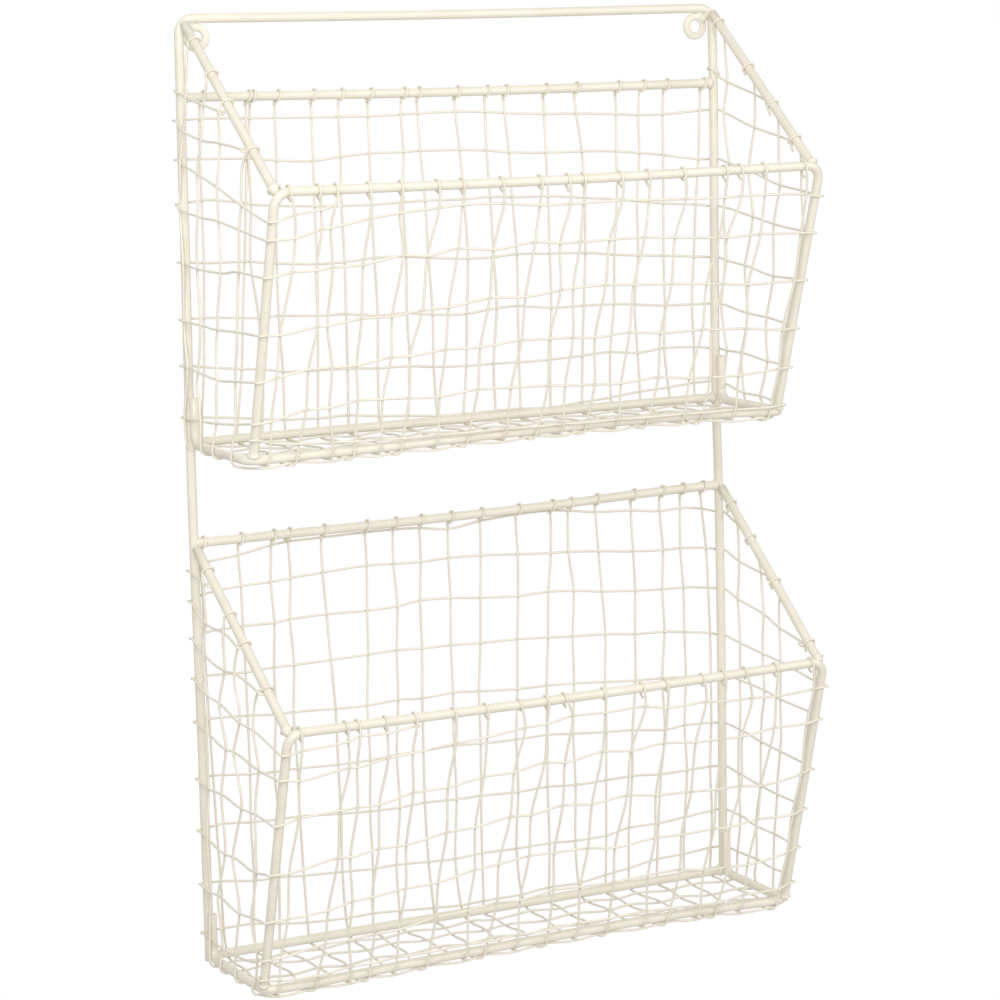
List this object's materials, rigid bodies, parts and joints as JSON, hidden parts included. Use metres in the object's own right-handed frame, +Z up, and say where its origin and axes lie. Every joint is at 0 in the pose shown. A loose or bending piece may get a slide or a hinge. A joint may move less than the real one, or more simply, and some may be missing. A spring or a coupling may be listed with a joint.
{
  "type": "wall storage rack",
  "caption": "Wall rack of bent rod with an upper and a lower basket of hand-woven wire, hung by eyelets in the top corners; coated ivory",
  "frame": {"origin": "on the wall plane, midway between the centres of the hanging eyelets", "axes": "+Z up, -Y out of the wall into the room, +X to the right of someone facing the rack"},
  "size_m": [0.4052, 0.1466, 0.6149],
  "materials": {
    "coat": "gloss"
  },
  "bodies": {
    "root": {"back_frame": "coat", "hang_eyelet_left": "coat", "hang_eyelet_right": "coat", "upper_back_rail": "coat", "upper_diagonal_left": "coat", "upper_diagonal_right": "coat", "upper_floor_back_rail": "coat", "upper_floor_ring": "coat", "upper_front_hoop": "coat", "upper_ring_net": "coat", "upper_long_wire_01": "coat", "upper_long_wire_02": "coat", "upper_long_wire_03": "coat", "upper_long_wire_04": "coat", "upper_long_wire_05": "coat", "upper_long_wire_06": "coat", "upper_long_wire_07": "coat", "upper_long_wire_08": "coat", "upper_long_wire_09": "coat", "upper_long_wire_10": "coat", "upper_long_wire_11": "coat", "upper_long_wire_12": "coat", "upper_long_wire_13": "coat", "upper_long_wire_14": "coat", "upper_long_wire_15": "coat", "upper_long_wire_16": "coat", "upper_long_wire_17": "coat", "upper_long_wire_18": "coat", "lower_back_rail": "coat", "lower_diagonal_left": "coat", "lower_diagonal_right": "coat", "lower_floor_back_rail": "coat", "lower_floor_ring": "coat", "lower_front_hoop": "coat", "lower_ring_net": "coat", "lower_long_wire_01": "coat", "lower_long_wire_02": "coat", "lower_long_wire_03": "coat", "lower_long_wire_04": "coat", "lower_long_wire_05": "coat", "lower_long_wire_06": "coat", "lower_long_wire_07": "coat", "lower_long_wire_08": "coat", "lower_long_wire_09": "coat", "lower_long_wire_10": "coat", "lower_long_wire_11": "coat", "lower_long_wire_12": "coat", "lower_long_wire_13": "coat", "lower_long_wire_14": "coat", "lower_long_wire_15": "coat", "lower_long_wire_16": "coat", "lower_long_wire_17": "coat", "lower_long_wire_18": "coat"}
  },
  "joints": []
}
